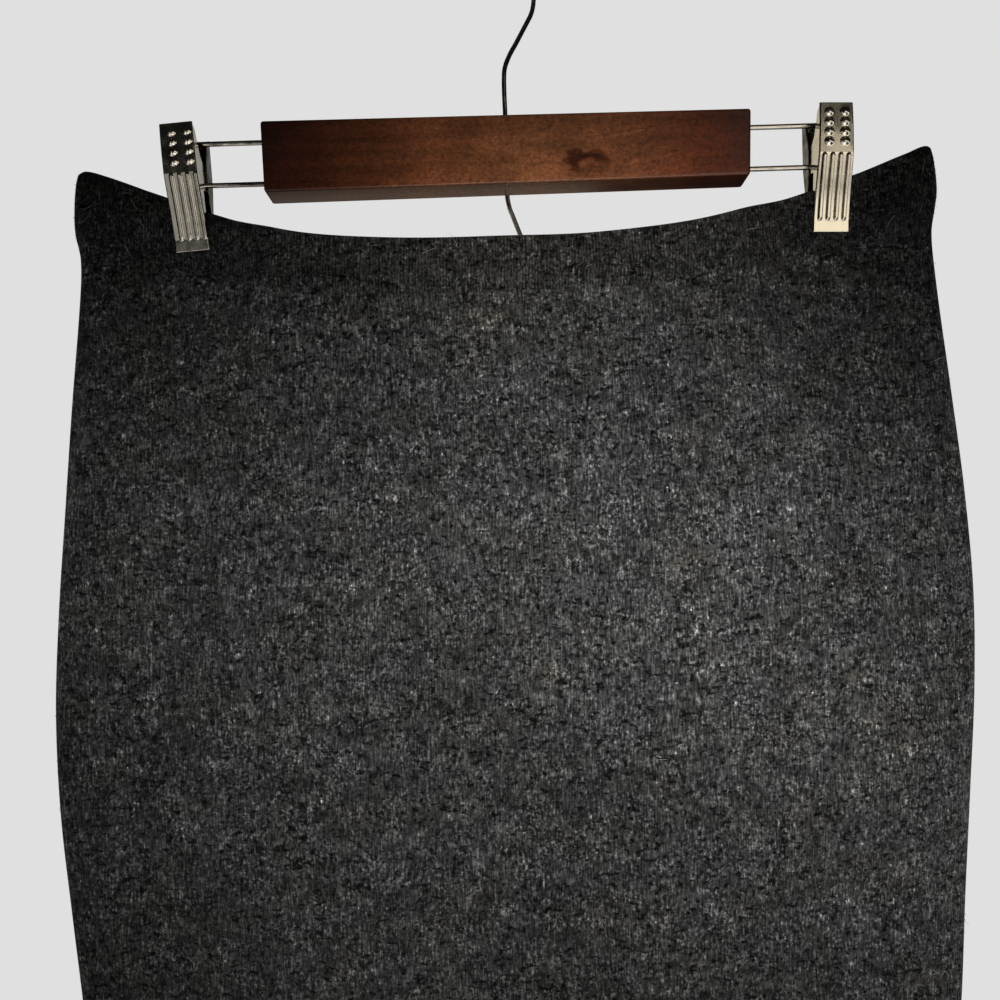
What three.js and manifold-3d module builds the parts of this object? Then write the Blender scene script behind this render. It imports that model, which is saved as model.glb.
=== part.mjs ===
// Knee-length pencil skirt of charcoal wool knit, pinched at the waist by the two sliding clips of a wooden hanger.
// Millimetres. +X is the viewer's right, +Y goes away from the viewer, +Z is up.
// The origin is the inside top of the hanger's hook, where a rod carries it.

import * as THREE from "three";
import { mergeVertices } from "three/addons/utils/BufferGeometryUtils.js";
import Module from "manifold-3d";

const wasm = await Module();
wasm.setup();

const { PI, sin, cos, abs, exp, max, min } = Math;
const FRONT = -1;
const BACK = 1;
const LEFT = -1;
const RIGHT = 1;

// Left between pieces that touch
const GAP = 0.3;

// Thicknesses of cloth: one layer of knit, knit folded over elastic, and knit turned up at the hem
const KNIT = 1.6;
const BAND = 2.6;
const TURNED_HEM = 3.0;
const HEM_HEIGHT = 30;
const HEM_EDGE = 2;

// The waist's upper edge, which sags between the clips and stands up at both corners
const WAIST_EDGE = [
  { x: -200.5, z: -108.5 },
  { x: -196, z: -106.3 },
  { x: -186, z: -110.3 },
  { x: -163, z: -119.2 },
  { x: -134, z: -130.0 },
  { x: -98, z: -140.3 },
  { x: -56, z: -144.6 },
  { x: 0, z: -145.1 },
  { x: 42, z: -144.4 },
  { x: 84, z: -140.0 },
  { x: 125, z: -130.4 },
  { x: 163, z: -117.9 },
  { x: 186, z: -109.8 },
  { x: 196, z: -106.0 },
  { x: 200.5, z: -108.7 },
];

// Depth of the waistband below that edge
const BAND_DEPTH = [
  { x: -200, depth: 31 },
  { x: -160, depth: 31 },
  { x: -114, depth: 27.8 },
  { x: 0, depth: 25.3 },
  { x: 114, depth: 27.8 },
  { x: 160, depth: 31 },
  { x: 200, depth: 31 },
];

// Hem: its height at the side seams, and how much lower it hangs at the middle
const HEM_Z = -716;
const HEM_DIP = 14;

// Sections of the skirt from the waist's corners down: half its width, half its depth from front to back, and how far
// its middle hangs from the hook's line
const SECTIONS = [
  { z: -107.1, half: 200.2, depth: 8.0, middle: -0.9 },
  { z: -113.1, half: 202.2, depth: 8.2, middle: -0.9 },
  { z: -126.1, half: 203.2, depth: 8.8, middle: -0.9 },
  { z: -136.1, half: 202.3, depth: 9.3, middle: -1.4 },
  { z: -148.1, half: 199.8, depth: 9.8, middle: -1.2 },
  { z: -164.1, half: 200.2, depth: 10.6, middle: -1.0 },
  { z: -219.1, half: 205.9, depth: 13.4, middle: -0.7 },
  { z: -266.1, half: 210.4, depth: 15.6, middle: -0.3 },
  { z: -313.1, half: 213.9, depth: 17.0, middle: -0.9 },
  { z: -360.1, half: 214.8, depth: 17.6, middle: -2.6 },
  { z: -407.1, half: 212.7, depth: 17.6, middle: -3.7 },
  { z: -454.1, half: 209.0, depth: 17.0, middle: -3.3 },
  { z: -501.1, half: 205.3, depth: 16.4, middle: -2.5 },
  { z: -590.1, half: 198.2, depth: 15.6, middle: -2.5 },
  { z: -730.1, half: 187.0, depth: 15.0, middle: -2.5 },
];

// How round the skirt's side folds are: 1 would be an ellipse's, and less is blunter
const SIDE_ROUNDNESS = 0.62;

// The soft folds die away between these two heights of that rounding (0 at the side seam, 1 in the middle)
const FOLDS_FADE = { none: 0.1, full: 0.75 };

// The clips hold front and back together over this half-width, and the cloth opens again over these reaches
const PINCH = { x: 149, half: 16, sideways: 26, below: 64, z: -154.1 };

// Soft folds: middle, half-length, half-width, how far the cloth stands out (or in), and lean (sideways per mm down)
const FRONT_FOLDS = [
  { x: 176, z: -396.1, run: 62, width: 34, out: 4.2, lean: 0.0 },
  { x: 178, z: -458.1, run: 24, width: 52, out: -3.0, lean: 0.0 },
  { x: 104, z: -278.1, run: 84, width: 58, out: 3.0, lean: 0.1 },
  { x: -150, z: -340.1, run: 110, width: 46, out: -2.6, lean: -0.1 },
  { x: -64, z: -570.1, run: 190, width: 24, out: 3.4, lean: -0.05 },
  { x: 70, z: -600.1, run: 200, width: 27, out: 3.6, lean: 0.02 },
  { x: 8, z: -610.1, run: 210, width: 24, out: -3.2, lean: 0.02 },
  { x: -116, z: -580.1, run: 170, width: 24, out: -3.0, lean: -0.03 },
  { x: 128, z: -610.1, run: 150, width: 26, out: -2.8, lean: 0.04 },
];
const BACK_FOLDS = [
  { x: -40, z: -260.1, run: 90, width: 60, out: 3.2, lean: -0.08 },
  { x: 152, z: -350.1, run: 110, width: 44, out: -2.8, lean: 0.1 },
  { x: -172, z: -410.1, run: 60, width: 34, out: 3.6, lean: 0.0 },
  { x: -84, z: -600.1, run: 190, width: 28, out: 3.4, lean: -0.03 },
  { x: -22, z: -610.1, run: 200, width: 25, out: -3.0, lean: 0.02 },
  { x: 44, z: -580.1, run: 190, width: 27, out: 3.6, lean: 0.04 },
  { x: 112, z: -610.1, run: 180, width: 26, out: -3.2, lean: 0.03 },
];

// Mesh of a panel and of a band half: columns from side to side, and rows (or drops) down
const COLUMNS = 44;
const PANEL_ROWS = 17;
const BAND_DROPS = [0, 0.16, 0.55, 1];
const COLUMN_CROWDING = 0.3; // towards the side folds
const ROW_CROWDING = 0.28; // towards the clips

// Round wires: flat sides round one, and the length of its straight steps
const WIRE_SIDES = 8;
const WIRE_STEP = 4.6;

// The hanger hangs a little low on its left: how much its line rises for each mm to the right
const HANGER_RISE = 0.0045;

// Wooden bar: its edges taper a little towards the right, and its ends slant in towards the bottom
const BAR = {
  z: -104.4,
  halfTop: 113.4,
  halfBottom: 112.4,
  heightLeft: 32.8,
  heightRight: 30.6,
  thick: 17,
  corner: 1.4,
  edge: 1.3,
};

// Hook wire: a straight neck, a straight crank and a round hook, in a plane turned away from the viewer
const HOOK = { wire: 2.2, radius: 22, turn: 45, bendZ: -62.3, startAngle: -32, endAngle: 208 };
const HOOK_CENTRE_Z = HOOK.wire / 2 - HOOK.radius;

// The same wire below the bar: straight, cranked to the right, then round under and up to its tip
const LOWER_HOOK = { bendZ: -126.5, crank: 20, crankLength: 17, radius: 8.5, sweep: 218 };

// Wire rails: two legs joined inside the clip
const RAIL = { wire: 2.3, apart: 19.5, bored: 24, end: 151.6, bend: 3.2 };

// Where each clip sits on its rails, at its top and at its lips
const CLIP_PLACES = [
  { word: "left", side: LEFT, topX: 151.6, tipX: 148.2 },
  { word: "right", side: RIGHT, topX: 151.9, tipX: 150.4 },
];

// Clips: stamped jaws with side cheeks, closed at their lips; the back jaw's cheeks lie outside the front one's
const CLIP = {
  topZ: -88.9,
  tipZ: -145.5,
  frontWidth: 15.2,
  backWidth: 17.4,
  plate: 0.8,
  rib: 0.75,
  ribPitch: 3.7,
  ribHalf: 1.3,
  bump: { x: 1.5, y: 0.93, z: 1.17, sunk: 0.1 },
  bumpPitchX: 7.2,
  bumpPitchZ: 4.55,
  firstBump: 4.4,
};

// Outline of a cheek behind its jaw's plate: how far below the clip's top, and how far from the wires' plane on the
// jaw's own side; the first and last rows lie in the plate
const CHEEK = [
  { down: 8, out: 10.4 },
  { down: 17, out: -2.5 },
  { down: 20.5, out: -3.9 },
  { down: 27.2, out: -2.9 },
  { down: 28.3, out: -1.5 },
  { down: 29.2, out: 3.5 },
  { down: 46, out: 4.3 },
];

// Flat spring folded between the thumb plates, on the clip's inner side so that it clears the rail's end
const SPRING = { thick: 0.6, wide: 4, inwards: 3.3, top: 4, knee: 14, fold: 20, foldHalf: 1.6 };

// Side shape of each jaw's plate: how far below the clip's top, how far the front and the back jaw's outer face lies
// from the wires' plane, and how far its ribs stand out there (as a share of their height)
const JAW_PROFILE = [
  { down: 0, front: 11.4, back: 12.4, ribs: 0 },
  { down: 10, front: 12.2, back: 11.9, ribs: 0 },
  { down: 20.5, front: 10.2, back: 10.9, ribs: 0 },
  { down: 22, front: 9.8, back: 10.7, ribs: 1 },
  { down: 32, front: 7.1, back: 8.6, ribs: 1 },
  { down: 42, front: 5.1, back: 5.9, ribs: 1 },
  { down: 51, front: 4.15, back: 4.2, ribs: 1 },
  { down: 52.5, front: 4.05, back: 4.1, ribs: 0 },
  { down: 57, front: 3.85, back: 3.85, ribs: 0 },
];

// A smooth curve through a table's rows, level beyond its ends: from the column along to the column value
function curveThrough(rows, along, value) {
  const sorted = [...rows].sort((a, b) => a[along] - b[along]);
  const at = sorted.map((row) => row[along]);
  const height = sorted.map((row) => row[value]);
  const last = at.length - 1;
  const slope = at.map((_, i) => {
    const lo = max(i - 1, 0);
    const hi = min(i + 1, last);
    return (height[hi] - height[lo]) / (at[hi] - at[lo]);
  });
  return (place) => {
    const p = min(max(place, at[0]), at[last]);
    let i = 0;
    while (i < last - 1 && p > at[i + 1]) i += 1;
    const step = at[i + 1] - at[i];
    const t = (p - at[i]) / step;
    const rise = t * t * (3 - 2 * t);
    const leave = t * (1 - t) * (1 - t) * step * slope[i];
    const arrive = t * t * (t - 1) * step * slope[i + 1];
    return height[i] + (height[i + 1] - height[i]) * rise + leave + arrive;
  };
}

const waistEdge = curveThrough(WAIST_EDGE, "x", "z");
const bandDepth = curveThrough(BAND_DEPTH, "x", "depth");
const halfWidth = curveThrough(SECTIONS, "z", "half");
const halfDepth = curveThrough(SECTIONS, "z", "depth");
const middle = curveThrough(SECTIONS, "z", "middle");
const SIDE_X = WAIST_EDGE[0].x;
const hangerZ = (x) => BAR.z + HANGER_RISE * x;

// 0 below from, 1 above to, and smooth between them
function ease(value, from, to) {
  const t = min(max((value - from) / (to - from), 0), 1);
  return t * t * (3 - 2 * t);
}

// Height of the cloth at x, where drop is 0 at the waist's edge, 1 at the band's seam and 2 at the hem
function heightAt(x, drop) {
  const seam = waistEdge(x) - bandDepth(x);
  if (drop <= 1) return waistEdge(x) - bandDepth(x) * drop;
  const across = x / halfWidth(HEM_Z);
  const hem = HEM_Z - HEM_DIP * (1 - min(across * across, 1));
  return seam + (hem - seam) * (drop - 1);
}

// How firmly the nearer clip holds the cloth: 1 between its lips, and less sideways and below
function pinchAt(x, z) {
  const beside = abs(abs(x) - PINCH.x) - PINCH.half;
  const below = max(PINCH.z - z, 0) / PINCH.below;
  return (1 - ease(beside, 0, PINCH.sideways)) * exp(-below * below);
}

// Sum of the soft folds at a place on one face
function foldsAt(face, x, z) {
  let out = 0;
  for (const fold of face === FRONT ? FRONT_FOLDS : BACK_FOLDS) {
    const down = (z - fold.z) / fold.run;
    const across = (x - fold.x - fold.lean * (fold.z - z)) / fold.width;
    out += fold.out * exp(-down * down - across * across);
  }
  return out;
}

// A point in the middle of the cloth: s runs from the left side seam (-1) to the right one (1), and drop downwards.
// Across, the cloth follows a flattened round; the clips close it, and the folds are added away from the side seams.
function clothPoint(face, wall, s, drop) {
  const level = heightAt(s < 0 ? SIDE_X : -SIDE_X, drop);
  const x = middle(level) + (halfWidth(level) - wall / 2) * sin((PI / 2) * s);
  const z = heightAt(x, drop);
  const round = max(cos((PI / 2) * s), 0) ** SIDE_ROUNDNESS;
  const closed = (wall + GAP) / 2;
  const open = halfDepth(z) * round;
  const out = closed + (open - closed) * (1 - pinchAt(x, z)) + foldsAt(face, x, z) * ease(round, FOLDS_FADE.none, FOLDS_FADE.full);
  const seamAllowance = GAP / 2;
  return new THREE.Vector3(x, face * max(out, seamAllowance), z);
}

// Outward direction of the cloth there, from its slopes; straight sideways at the side seams
function clothNormal(face, wall, s, drop) {
  if (abs(s) > 1 - 1e-6) return new THREE.Vector3(s, 0, 0);
  const step = 0.004;
  const across = clothPoint(face, wall, min(s + step, 1), drop).sub(clothPoint(face, wall, max(s - step, -1), drop));
  const down = clothPoint(face, wall, s, drop + step).sub(clothPoint(face, wall, s, drop - step));
  const normal = across.cross(down).normalize();
  return normal.y * face < 0 ? normal.negate() : normal;
}

// A wall between two grids of points, outer[row][column] and inner[row][column], closed round its four edges
function wallBetween(outer, inner) {
  const rows = outer.length;
  const columns = outer[0].length;
  const points = [...outer.flat(), ...inner.flat()].flatMap((p) => [p.x, p.y, p.z]);
  const faces = [];
  const out = (r, c) => r * columns + c;
  const inn = (r, c) => rows * columns + r * columns + c;
  const quad = (a, b, c, d) => faces.push(a, b, c, a, c, d);
  for (let r = 0; r < rows - 1; r += 1) {
    for (let c = 0; c < columns - 1; c += 1) {
      quad(out(r, c), out(r + 1, c), out(r + 1, c + 1), out(r, c + 1));
      quad(inn(r, c), inn(r, c + 1), inn(r + 1, c + 1), inn(r + 1, c));
    }
    quad(out(r, 0), inn(r, 0), inn(r + 1, 0), out(r + 1, 0));
    quad(out(r, columns - 1), out(r + 1, columns - 1), inn(r + 1, columns - 1), inn(r, columns - 1));
  }
  for (let c = 0; c < columns - 1; c += 1) {
    quad(out(0, c), out(0, c + 1), inn(0, c + 1), inn(0, c));
    quad(out(rows - 1, c), inn(rows - 1, c), inn(rows - 1, c + 1), out(rows - 1, c + 1));
  }
  const geometry = new THREE.BufferGeometry();
  geometry.setAttribute("position", new THREE.Float32BufferAttribute(points, 3));
  geometry.setIndex(faces);
  if (signedVolume(geometry) < 0) turnOver(geometry);
  geometry.computeVertexNormals();
  return geometry;
}

// Volume enclosed by a geometry's faces, negative when they point inwards
function signedVolume(geometry) {
  const position = geometry.getAttribute("position");
  const index = geometry.index.array;
  const corner = (i) => new THREE.Vector3().fromBufferAttribute(position, index[i]);
  let sum = 0;
  for (let i = 0; i < index.length; i += 3) sum += corner(i).dot(corner(i + 1).cross(corner(i + 2)));
  return sum / 6;
}

// Turns each face round
function turnOver(geometry) {
  const index = geometry.index.array;
  for (let i = 0; i < index.length; i += 3) [index[i + 1], index[i + 2]] = [index[i + 2], index[i + 1]];
}

// Cloth between two drops on one face, with its thickness given at each drop; extra cloth lies on the inside
function clothWall(face, wall, drops, thicknessAt) {
  const stations = Array.from({ length: COLUMNS + 1 }, (_, i) => {
    const even = (2 * i) / COLUMNS - 1;
    return even * (1 + COLUMN_CROWDING * (1 - even * even));
  });
  const grid = (offsetAt) =>
    drops.map((drop) =>
      stations.map((s) => {
        const normal = clothNormal(face, wall, s, drop);
        const point = clothPoint(face, wall, s, drop);
        return point.addScaledVector(normal, offsetAt(drop));
      }),
    );
  return wallBetween(
    grid(() => wall / 2),
    grid((drop) => wall / 2 - thicknessAt(drop)),
  );
}

// Drops of a skirt panel: closer together near the clips, with an edge where the turned-up hem begins
function panelDrops() {
  const length = waistEdge(SIDE_X) - bandDepth(SIDE_X) - HEM_Z;
  const seamGap = GAP / length;
  const hemTop = 2 - HEM_HEIGHT / length;
  const above = hemTop - HEM_EDGE / length;
  const drops = Array.from({ length: PANEL_ROWS }, (_, i) => {
    const t = i / (PANEL_ROWS - 1);
    return 1 + seamGap + (above - 1 - seamGap) * t * (1 - ROW_CROWDING * (1 - t));
  });
  return { drops: [...drops, hemTop, 2], hemTop };
}

function skirtPanel(face) {
  const { drops, hemTop } = panelDrops();
  return clothWall(face, KNIT, drops, (drop) => (drop >= hemTop ? TURNED_HEM : KNIT));
}

function waistbandHalf(face) {
  return clothWall(face, BAND, BAND_DROPS, () => BAND);
}

// A round wire along a list of points
function wireAlong(points, diameter) {
  const path = new THREE.CatmullRomCurve3(points);
  const section = new THREE.Shape();
  for (let i = 0; i < WIRE_SIDES; i += 1) {
    const angle = (2 * PI * i) / WIRE_SIDES;
    const place = [(diameter / 2) * cos(angle), (diameter / 2) * sin(angle)];
    if (i === 0) section.moveTo(...place);
    else section.lineTo(...place);
  }
  const steps = Math.round(path.getLength() / WIRE_STEP);
  return new THREE.ExtrudeGeometry(section, { extrudePath: path, steps, bevelEnabled: false });
}

const radians = THREE.MathUtils.degToRad;

// Points of an arc in the plane of across and up, between two angles in degrees
function arcPoints(centreAcross, centreUp, radius, from, to, count, place) {
  return Array.from({ length: count + 1 }, (_, i) => {
    const angle = radians(from + ((to - from) * i) / count);
    return place(centreAcross + radius * cos(angle), centreUp + radius * sin(angle));
  });
}

// The hook's route, from its lower tip, through the bar, up the neck and round to the upper tip
function hookPoints() {
  const upper = (across, up) =>
    new THREE.Vector3(across * cos(radians(HOOK.turn)), across * sin(radians(HOOK.turn)), up);
  const lower = (across, up) => new THREE.Vector3(across, 0, up);
  const { bendZ, crank, crankLength, radius, sweep } = LOWER_HOOK;
  const crankEnd = { x: crankLength * sin(radians(crank)), z: bendZ - crankLength * cos(radians(crank)) };
  const centre = { x: crankEnd.x - radius * cos(radians(crank)), z: crankEnd.z - radius * sin(radians(crank)) };
  const lowerArc = arcPoints(centre.x, centre.z, radius, crank - sweep, crank, 12, lower);
  const upperArc = arcPoints(0, HOOK_CENTRE_Z, HOOK.radius, HOOK.startAngle, HOOK.endAngle, 24, upper);
  const straight = [0.25, 0.6].map((t) => lower(crankEnd.x * (1 - t), crankEnd.z + (bendZ - crankEnd.z) * t));
  const neck = [0.05, 0.3, 0.6, 0.95].map((t) => lower(0, bendZ + (HOOK.bendZ - bendZ) * t));
  const first = upperArc[0];
  const bend = lower(0, HOOK.bendZ);
  const crankUp = [0.15, 0.5, 0.85].map((t) => bend.clone().lerp(first, t));
  return [...lowerArc, ...straight, ...neck, ...crankUp, ...upperArc];
}

// A rail's route: out of the bar along the upper leg, round inside the clip and back along the lower leg
function railPoints(side) {
  const start = BAR.halfBottom - RAIL.bored;
  const place = (x, up) => new THREE.Vector3(side * x, 0, hangerZ(side * x) + up);
  const half = RAIL.apart / 2;
  const along = [0, 0.3, 0.6, 0.85].map((t) => start + (RAIL.end - RAIL.bend - start) * t);
  const leg = (up) => along.map((x) => place(x, up));
  const corner = (up) =>
    arcPoints(RAIL.end - RAIL.bend, up * (half - RAIL.bend), RAIL.bend, 90 * up, 0, 3, place);
  return [...leg(half), ...corner(1), place(RAIL.end, 0), ...corner(-1).reverse(), ...leg(-half).reverse()];
}

// A closed three.js geometry as a solid that can be cut and joined
function solidOf(geometry) {
  const bare = geometry.index ? geometry.toNonIndexed() : geometry.clone();
  bare.deleteAttribute("normal");
  bare.deleteAttribute("uv");
  const merged = mergeVertices(bare, 1e-4);
  return new wasm.Manifold(
    new wasm.Mesh({
      numProp: 3,
      vertProperties: new Float32Array(merged.getAttribute("position").array),
      triVerts: new Uint32Array(merged.index.array),
    }),
  );
}

// A solid as a three.js geometry again
function geometryOf(solid) {
  const mesh = solid.getMesh();
  const geometry = new THREE.BufferGeometry();
  geometry.setAttribute("position", new THREE.Float32BufferAttribute(Array.from(mesh.vertProperties), 3));
  geometry.setIndex(Array.from(mesh.triVerts));
  geometry.computeVertexNormals();
  return geometry;
}

// A round peg from one point along a direction, for boring holes
function peg(from, direction, length, diameter) {
  const geometry = new THREE.CylinderGeometry(diameter / 2, diameter / 2, length, 12);
  const turn = new THREE.Quaternion().setFromUnitVectors(new THREE.Vector3(0, 1, 0), direction);
  const centre = from.clone().addScaledVector(direction, length / 2);
  return solidOf(geometry.applyQuaternion(turn).translate(centre.x, centre.y, centre.z));
}

// The bar: its front outline with rounded corners, carried from front to back with rounded edges, then bored
function hangerBar() {
  const half = { left: BAR.heightLeft / 2 - BAR.edge, right: BAR.heightRight / 2 - BAR.edge };
  const corners = [
    [-BAR.halfTop + BAR.edge, half.left],
    [-BAR.halfBottom + BAR.edge, -half.left],
    [BAR.halfBottom - BAR.edge, -half.right],
    [BAR.halfTop - BAR.edge, half.right],
  ].map(([x, up]) => new THREE.Vector2(x, hangerZ(x) + up));
  const outline = new THREE.Shape();
  corners.forEach((corner, i) => {
    const before = corners[(i + 3) % 4].clone().sub(corner).normalize();
    const after = corners[(i + 1) % 4].clone().sub(corner).normalize();
    const start = corner.clone().addScaledVector(before, BAR.corner);
    const end = corner.clone().addScaledVector(after, BAR.corner);
    if (i === 0) outline.moveTo(start.x, start.y);
    else outline.lineTo(start.x, start.y);
    outline.quadraticCurveTo(corner.x, corner.y, end.x, end.y);
  });
  const body = new THREE.ExtrudeGeometry(outline, {
    depth: BAR.thick - 2 * BAR.edge,
    curveSegments: 3,
    bevelThickness: BAR.edge,
    bevelSize: BAR.edge,
    bevelSegments: 3,
  });
  body.translate(0, 0, -BAR.thick / 2 + BAR.edge).rotateX(PI / 2);
  let solid = solidOf(body);
  const clear = 2 * GAP;
  const up = new THREE.Vector3(0, 0, 1);
  const below = new THREE.Vector3(0, 0, BAR.z - BAR.heightLeft);
  solid = solid.subtract(peg(below, up, 2 * BAR.heightLeft, HOOK.wire + clear));
  for (const side of [LEFT, RIGHT]) {
    for (const leg of [-1, 1]) {
      const x = side * (BAR.halfTop + BAR.edge);
      const mouth = new THREE.Vector3(x, 0, hangerZ(x) + (leg * RAIL.apart) / 2);
      const inwards = new THREE.Vector3(-side, 0, -side * HANGER_RISE).normalize();
      solid = solid.subtract(peg(mouth, inwards, RAIL.bored + 3 * BAR.edge, RAIL.wire + clear));
    }
  }
  return geometryOf(solid);
}

// How far a jaw's outer face lies from the wires' plane
const JAW_OUT = { [FRONT]: curveThrough(JAW_PROFILE, "down", "front"), [BACK]: curveThrough(JAW_PROFILE, "down", "back") };

// A jaw's plate with its ribs, its thumb bumps and its two cheeks, bored where the lower rail passes at pivot.
// It is made upright, with its top at z = 0, its middle at x = 0 and the wires' plane at y = 0.
function jaw(face, pivot, level) {
  const width = face === FRONT ? CLIP.frontWidth : CLIP.backWidth;
  const out = JAW_OUT[face];
  const share = width / CLIP.frontWidth;
  const half = CLIP.ribHalf * share;
  const ribs = [-1.5, -0.5, 0.5, 1.5].map((i) => i * CLIP.ribPitch * share);
  const across = [
    { x: -width / 2, rib: 0 },
    ...ribs.flatMap((x) => [
      { x: x - half, rib: 0 },
      { x, rib: 1 },
      { x: x + half, rib: 0 },
    ]),
    { x: width / 2, rib: 0 },
  ];
  const plate = (inset, raised) =>
    JAW_PROFILE.map(({ down, ribs: share }) =>
      across.map(({ x, rib }) => new THREE.Vector3(x, face * (out(down) - inset + raised * rib * share), -down)),
    );
  let solid = solidOf(wallBetween(plate(0, CLIP.rib), plate(CLIP.plate, 0)));

  for (let row = 0; row < 4; row += 1) {
    for (const column of [-0.5, 0.5]) {
      const down = CLIP.firstBump + row * CLIP.bumpPitchZ;
      const bump = new THREE.SphereGeometry(1, 6, 3).rotateX(PI / 2).scale(CLIP.bump.x, CLIP.bump.y, CLIP.bump.z);
      bump.translate(column * CLIP.bumpPitchX * share, face * (out(down) - CLIP.bump.sunk), -down);
      solid = solid.add(solidOf(bump));
    }
  }

  const last = CHEEK.length - 1;
  const cheek = new THREE.Shape(
    CHEEK.map((row, i) => {
      const reach = i === 0 || i === last ? out(row.down) - CLIP.plate / 2 : row.out;
      return new THREE.Vector2(face * reach, -row.down);
    }),
  );
  for (const edge of [LEFT, RIGHT]) {
    const slab = new THREE.ExtrudeGeometry(cheek, { depth: CLIP.plate, bevelEnabled: false });
    slab.rotateX(PI / 2).rotateZ(PI / 2);
    slab.translate(edge * (width / 2 - CLIP.plate / 2) - CLIP.plate / 2, 0, 0);
    solid = solid.add(solidOf(slab));
  }
  const start = pivot.clone().addScaledVector(level, -width);
  return geometryOf(solid.subtract(peg(start, level, 2 * width, RAIL.wire + 2 * GAP)));
}

// The spring's side shape is a strip folded into a V, with its upper ends bent along the thumb plates
function clipSpring(side) {
  const { thick, top, knee, fold, foldHalf } = SPRING;
  const legPoints = (face, inset) =>
    [
      { down: top, out: JAW_OUT[face](top) - CLIP.plate - GAP },
      { down: knee, out: JAW_OUT[face](knee) - CLIP.plate - GAP },
      { down: inset > 0 ? fold - thick : fold, out: foldHalf },
    ].map(({ down, out }) => new THREE.Vector2(face * (out - inset), -down));
  const strip = [
    ...legPoints(BACK, 0),
    new THREE.Vector2(0, -fold - thick),
    ...legPoints(FRONT, 0).reverse(),
    ...legPoints(FRONT, thick),
    ...legPoints(BACK, thick).reverse(),
  ];
  const spring = new THREE.ExtrudeGeometry(new THREE.Shape(strip), { depth: SPRING.wide, bevelEnabled: false });
  spring.rotateX(PI / 2).rotateZ(PI / 2);
  return spring.translate(-side * SPRING.inwards - SPRING.wide / 2, 0, 0);
}

// A clip leaning on its rails, with the rail's lower leg as its pivot
function clip({ word, side, topX, tipX }) {
  const lean = Math.atan2(topX - tipX, CLIP.topZ - CLIP.tipZ);
  const topZ = CLIP.topZ + HANGER_RISE * side * topX;
  const legZ = hangerZ(side * topX) - RAIL.apart / 2;
  const pivot = new THREE.Vector3(0, 0, (legZ - topZ) / cos(lean));
  const level = new THREE.Vector3(cos(lean), 0, side * sin(lean));
  const made = new THREE.Group();
  made.position.set(side * topX, 0, topZ);
  made.rotation.y = side * lean;
  addPiece(made, `clip_${word}_front_jaw`, jaw(FRONT, pivot, level), "nickel");
  addPiece(made, `clip_${word}_back_jaw`, jaw(BACK, pivot, level), "nickel");
  addPiece(made, `clip_${word}_spring`, clipSpring(side), "nickel");
  return made;
}

const group = new THREE.Group();

// Finishes: colour, roughness and metalness of each
const FINISHES = {
  knit: { color: 0x3b3b3a, roughness: 0.95, metalness: 0 },
  bandKnit: { color: 0x2b2b2b, roughness: 0.95, metalness: 0 },
  stainedWood: { color: 0x4a2317, roughness: 0.4, metalness: 0 },
  nickel: { color: 0xb9b3a6, roughness: 0.25, metalness: 1 },
};

function addPiece(parent, name, geometry, finish) {
  const mesh = new THREE.Mesh(geometry, new THREE.MeshStandardMaterial(FINISHES[finish]));
  mesh.name = name;
  parent.add(mesh);
}

addPiece(group, "skirt_front", skirtPanel(FRONT), "knit");
addPiece(group, "skirt_back", skirtPanel(BACK), "knit");
addPiece(group, "waistband_front", waistbandHalf(FRONT), "bandKnit");
addPiece(group, "waistband_back", waistbandHalf(BACK), "bandKnit");
addPiece(group, "hanger_bar", hangerBar(), "stainedWood");
addPiece(group, "hook", wireAlong(hookPoints(), HOOK.wire), "nickel");

for (const place of CLIP_PLACES) {
  addPiece(group, `rail_${place.word}`, wireAlong(railPoints(place.side), RAIL.wire), "nickel");
  group.add(clip(place));
}

export default group;
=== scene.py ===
"""Charcoal wool-knit pencil skirt, pinched at its waist by the clips of a wooden hanger.

Tables and shapes are in millimetres in the frame of the solids, and become metres when a mesh is made.
+X is the viewer's right, +Y goes away from the viewer, +Z is up. The origin is the inside top of the hook.
"""

import bpy
import numpy as np
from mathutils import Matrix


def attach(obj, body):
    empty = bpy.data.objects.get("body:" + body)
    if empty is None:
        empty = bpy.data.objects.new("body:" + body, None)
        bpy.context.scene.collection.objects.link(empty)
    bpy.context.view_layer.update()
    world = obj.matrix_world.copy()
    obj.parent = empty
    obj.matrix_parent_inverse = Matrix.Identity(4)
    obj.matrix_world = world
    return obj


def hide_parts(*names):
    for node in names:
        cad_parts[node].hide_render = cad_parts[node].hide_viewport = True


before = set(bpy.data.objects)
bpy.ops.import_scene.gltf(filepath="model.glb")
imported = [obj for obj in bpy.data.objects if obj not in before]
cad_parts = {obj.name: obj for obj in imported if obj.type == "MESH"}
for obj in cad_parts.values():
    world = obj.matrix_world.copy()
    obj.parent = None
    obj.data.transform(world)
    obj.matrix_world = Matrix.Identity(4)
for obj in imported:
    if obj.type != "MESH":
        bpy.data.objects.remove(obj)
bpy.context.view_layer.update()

MM = 0.001
PI = np.pi
FRONT, BACK = -1, 1
LEFT, RIGHT = -1, 1
GAP = 0.3  # between pieces at a seam
chance = np.random.default_rng(11)


# Sizes shared with the solids

# How thick the knit, the band and the turned hem are, and how high the turning is
KNIT, BAND, TURNED_HEM, HEM_HEIGHT = 1.6, 2.6, 3.0, 30

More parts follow.
